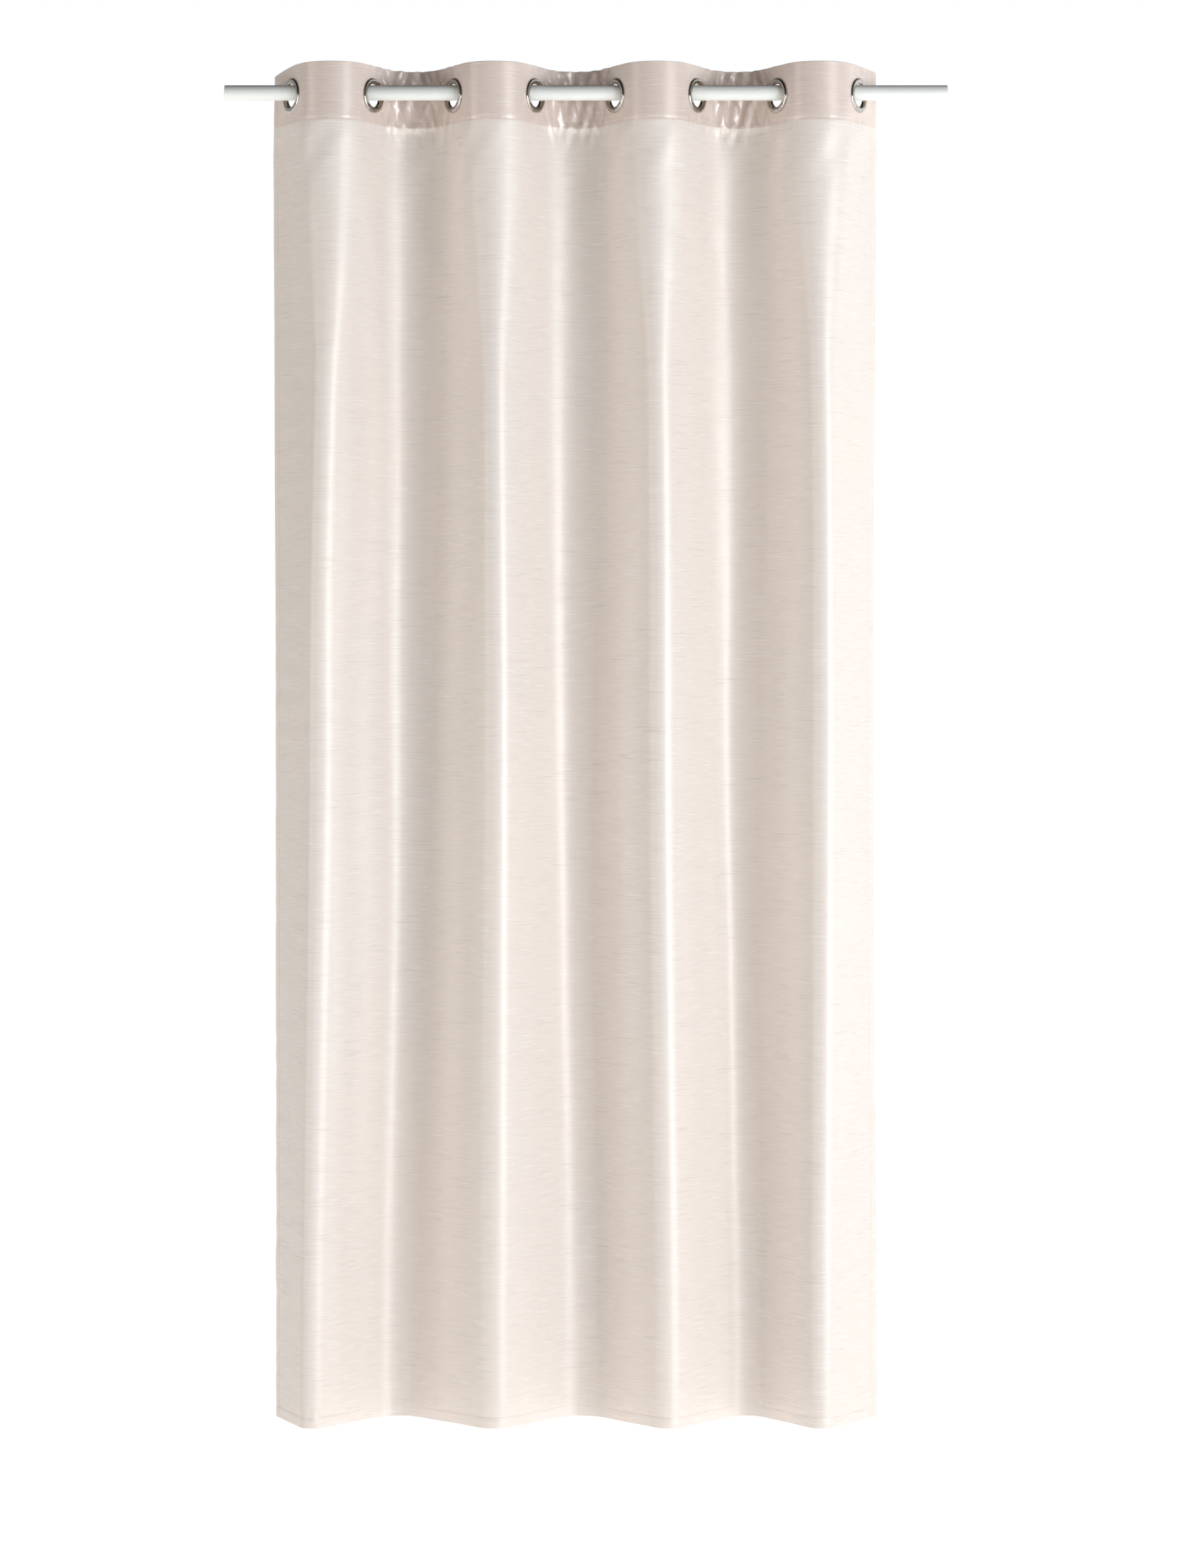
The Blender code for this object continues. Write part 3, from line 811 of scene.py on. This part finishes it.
def spun_ring(name, profile):
    """A ring spun from its closed section, given as radius and height."""
    bpy.ops.object.select_all(action="DESELECT")
    bpy.ops.mesh.primitive_circle_add(vertices=len(profile), radius=0.001)
    ring = bpy.context.object
    ring.name = name
    for vertex, (radius, height) in zip(ring.data.vertices, profile):
        vertex.co = (radius, 0, height)
    bpy.ops.object.mode_set(mode="EDIT")
    bpy.ops.mesh.select_all(action="SELECT")
    bpy.ops.mesh.spin(steps=96, angle=math.tau, center=(0, 0, 0), axis=(0, 0, 1))
    bpy.ops.mesh.select_all(action="SELECT")
    bpy.ops.mesh.remove_doubles(threshold=0.000002)
    bpy.ops.mesh.normals_make_consistent(inside=False)
    bpy.ops.object.mode_set(mode="OBJECT")
    bpy.ops.object.shade_smooth_by_angle(angle=math.radians(40))
    ring.data.materials.append(METAL)
    ring.data.materials.append(BARREL_PAINTED_REFLECTION)
    # Faces of the barrel and bore get the gold-brown painted reflection
    for face in ring.data.polygons:
        away = math.hypot(face.center.x, face.center.y)
        face.material_index = int(away < BARREL_RADIUS + BARREL_REFLECTION_REACH)
    return ring


def front_section():
    """The front ring and its barrel: dome, throat, rolled lip and underside."""
    middle, half = (RING_RADIUS + BORE_RADIUS) / 2, (RING_RADIUS - BORE_RADIUS) / 2
    dome = []
    for step in range(17):
        a = math.pi * step / 16
        dome.append((middle + half * math.cos(a),
                     FLANGE_SEAT + 0.0004 + (FRONT_DOME - 0.0004) * math.sin(a) ** 0.8))
    throat = [(BORE_RADIUS, h) for h in (0.0008, -0.0006, -0.0020)]
    lip = [(BORE_RADIUS + 0.0002, -BARREL_END + 0.0003), (BORE_RADIUS + 0.0006, -BARREL_END),
           (BARREL_RADIUS - 0.0002, -BARREL_END + 0.0003), (BARREL_RADIUS, -0.0025)]
    under = [(BARREL_RADIUS, FLANGE_SEAT), (0.0260, FLANGE_SEAT), (RING_RADIUS, FLANGE_SEAT)]
    return dome + throat + lip + under


def back_section():
    """The lock ring: a low dome, flat where it meets the cloth."""
    inner = BARREL_RADIUS + 0.0003
    middle, half = (RING_RADIUS + inner) / 2, (RING_RADIUS - inner) / 2
    dome = [(middle + half * math.cos(math.pi * step / 12),
             -FLANGE_SEAT - 0.0004 - (BACK_DOME - 0.0004) * math.sin(math.pi * step / 12) ** 0.8)
            for step in range(13)]
    return dome + [(inner, -FLANGE_SEAT), (middle, -FLANGE_SEAT), (RING_RADIUS, -FLANGE_SEAT)]


def make_eyelets():
    for kind, section in (("front", front_section()), ("back", back_section())):
        pattern = spun_ring(f"eyelet_pattern_{kind}", section)
        for eyelet in range(EYELETS):
            ring = pattern.copy()
            ring.data = pattern.data.copy()
            ring.name = f"curtain_eyelet_{kind}_{eyelet + 1}"
            bpy.context.collection.objects.link(ring)
            side = 1 if eyelet % 2 else -1
            ring.rotation_euler = (math.pi / 2, 0, side * FOLD_ANGLE)
            ring.location = (FIRST_EYELET + HUNG_PITCH * eyelet, 0, RING_Z)
            bpy.ops.object.select_all(action="DESELECT")
            ring.select_set(True)
            bpy.context.view_layer.objects.active = ring
            bpy.ops.object.transform_apply(location=True, rotation=True, scale=True)
            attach(ring, f"pleat_{eyelet + 1}")
            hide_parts(f"eyelet_{kind}_{eyelet + 1}")
        bpy.data.objects.remove(pattern)


def make_pole():
    low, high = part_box("pole")
    bpy.ops.object.select_all(action="DESELECT")
    bpy.ops.mesh.primitive_cylinder_add(
        vertices=96, radius=POLE_RADIUS, depth=high[0] - low[0],
        location=((low[0] + high[0]) / 2, 0, 0), rotation=(0, math.pi / 2, 0))
    pole = bpy.context.object
    pole.name = "painted_pole"
    bpy.ops.object.transform_apply(location=True, rotation=True, scale=True)
    bpy.ops.object.mode_set(mode="EDIT")
    bpy.ops.mesh.select_all(action="DESELECT")
    bpy.ops.object.mode_set(mode="OBJECT")
    for edge in pole.data.edges:
        ends = [pole.data.vertices[i].co.x for i in edge.vertices]
        edge.select = abs(ends[0] - ends[1]) < 1e-6
    bpy.ops.object.mode_set(mode="EDIT")
    bpy.ops.mesh.select_mode(type="EDGE")
    bpy.ops.mesh.bevel(offset=0.0009, segments=3)
    bpy.ops.object.mode_set(mode="OBJECT")
    bpy.ops.object.shade_smooth_by_angle(angle=math.radians(35))
    pole.data.materials.append(PAINT)
    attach(pole, "pole")
    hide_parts("pole")


make_eyelets()
make_pole()


# ---------------------------------------------------------------- studio

def make_studio():
    """A pale floor, a pale backdrop, soft light from the sides and a key light from the right."""
    bpy.ops.object.select_all(action="DESELECT")
    bpy.ops.mesh.primitive_plane_add(size=60, location=(0, 0, TOP_Z - DROP - 0.02))
    floor = bpy.context.object
    floor.name = "floor"
    m = Material("pale_floor")
    floor.data.materials.append(m.finish(
        Base_Color=(0.80, 0.80, 0.80, 1), Roughness=0.9, Specular_IOR_Level=0.1,
        Emission_Color=(1, 1, 1, 1), Emission_Strength=1.0))

    world = bpy.data.worlds.new("studio")
    bpy.context.scene.world = world
    world.use_nodes = True
    tree = world.node_tree
    tree.nodes.clear()

    def node(kind, **settings):
        made = tree.nodes.new(kind)
        for name, value in settings.items():
            setattr(made, name, value)
        return made

    def fade(socket, low, high, to_low, to_high):
        """The light's strength along one direction of the sky, from to_low to to_high."""
        made = node("ShaderNodeMapRange", interpolation_type="SMOOTHSTEP")
        tree.links.new(socket, made.inputs["Value"])
        for name, value in (("From Min", low), ("From Max", high),
                            ("To Min", to_low), ("To Max", to_high)):
            made.inputs[name].default_value = value
        return made.outputs[0]

    way = node("ShaderNodeTexCoord")
    split = node("ShaderNodeSeparateXYZ")
    product = node("ShaderNodeMath", operation="MULTIPLY")
    whole = node("ShaderNodeMath", operation="MULTIPLY")
    light = node("ShaderNodeBackground")
    out = node("ShaderNodeOutputWorld")
    tree.links.new(way.outputs["Generated"], split.inputs[0])
    tree.links.new(fade(split.outputs["Y"], -0.25, 0.60, 0.15, 1.1), product.inputs[0])
    tree.links.new(fade(split.outputs["X"], -0.9, 0.9, 0.45, 1.15), product.inputs[1])
    tree.links.new(product.outputs[0], whole.inputs[0])
    tree.links.new(fade(split.outputs["Z"], 0.22, 0.60, 1.0, 0.12), whole.inputs[1])
    tree.links.new(whole.outputs[0], light.inputs["Color"])

    # The sky's own gradient lights the cloth; seen directly it is a plain white backdrop
    backdrop = node("ShaderNodeBackground")
    backdrop.inputs["Color"].default_value = (1, 1, 1, 1)
    seen = node("ShaderNodeLightPath")
    either = node("ShaderNodeMixShader")
    tree.links.new(seen.outputs["Is Camera Ray"], either.inputs[0])
    tree.links.new(light.outputs[0], either.inputs[1])
    tree.links.new(backdrop.outputs[0], either.inputs[2])
    tree.links.new(either.outputs[0], out.inputs["Surface"])

    def softbox(name, place, size, power, aim, colour=(1, 1, 1)):
        data = bpy.data.lights.new(name, "AREA")
        data.color = colour
        data.shape, data.size, data.size_y, data.energy = "RECTANGLE", *size, power
        lamp = bpy.data.objects.new(name, data)
        lamp.location = place
        lamp.rotation_euler = (Vector(aim) - Vector(place)).to_track_quat("-Z", "Y").to_euler()
        bpy.context.collection.objects.link(lamp)

    softbox("key", place=(4.6, -4.4, -1.75), size=(2.6, 3.4), power=312, aim=(0, 0, -1.6),
            colour=(0.88, 0.93, 1.0))
    softbox("side", place=(6.0, -0.6, -1.7), size=(3.6, 3.4), power=26, aim=(0, 0, -1.6))
    softbox("left", place=(-5.6, -2.4, -1.3), size=(2.0, 4.0), power=66, aim=(0, 0, -1.3),
            colour=(1.0, 0.95, 0.90))


def make_camera():
    data = bpy.data.cameras.new("camera")
    camera = bpy.data.objects.new("camera", data)
    camera.location = (0.0046, -7.2, -1.083)
    camera.rotation_euler = (math.pi / 2, 0, 0)
    data.lens = 89.66
    data.shift_y = -0.0661
    data.clip_end = 100
    bpy.context.collection.objects.link(camera)
    bpy.context.scene.camera = camera


make_studio()
make_camera()
bpy.context.scene.view_settings.view_transform = "Standard"
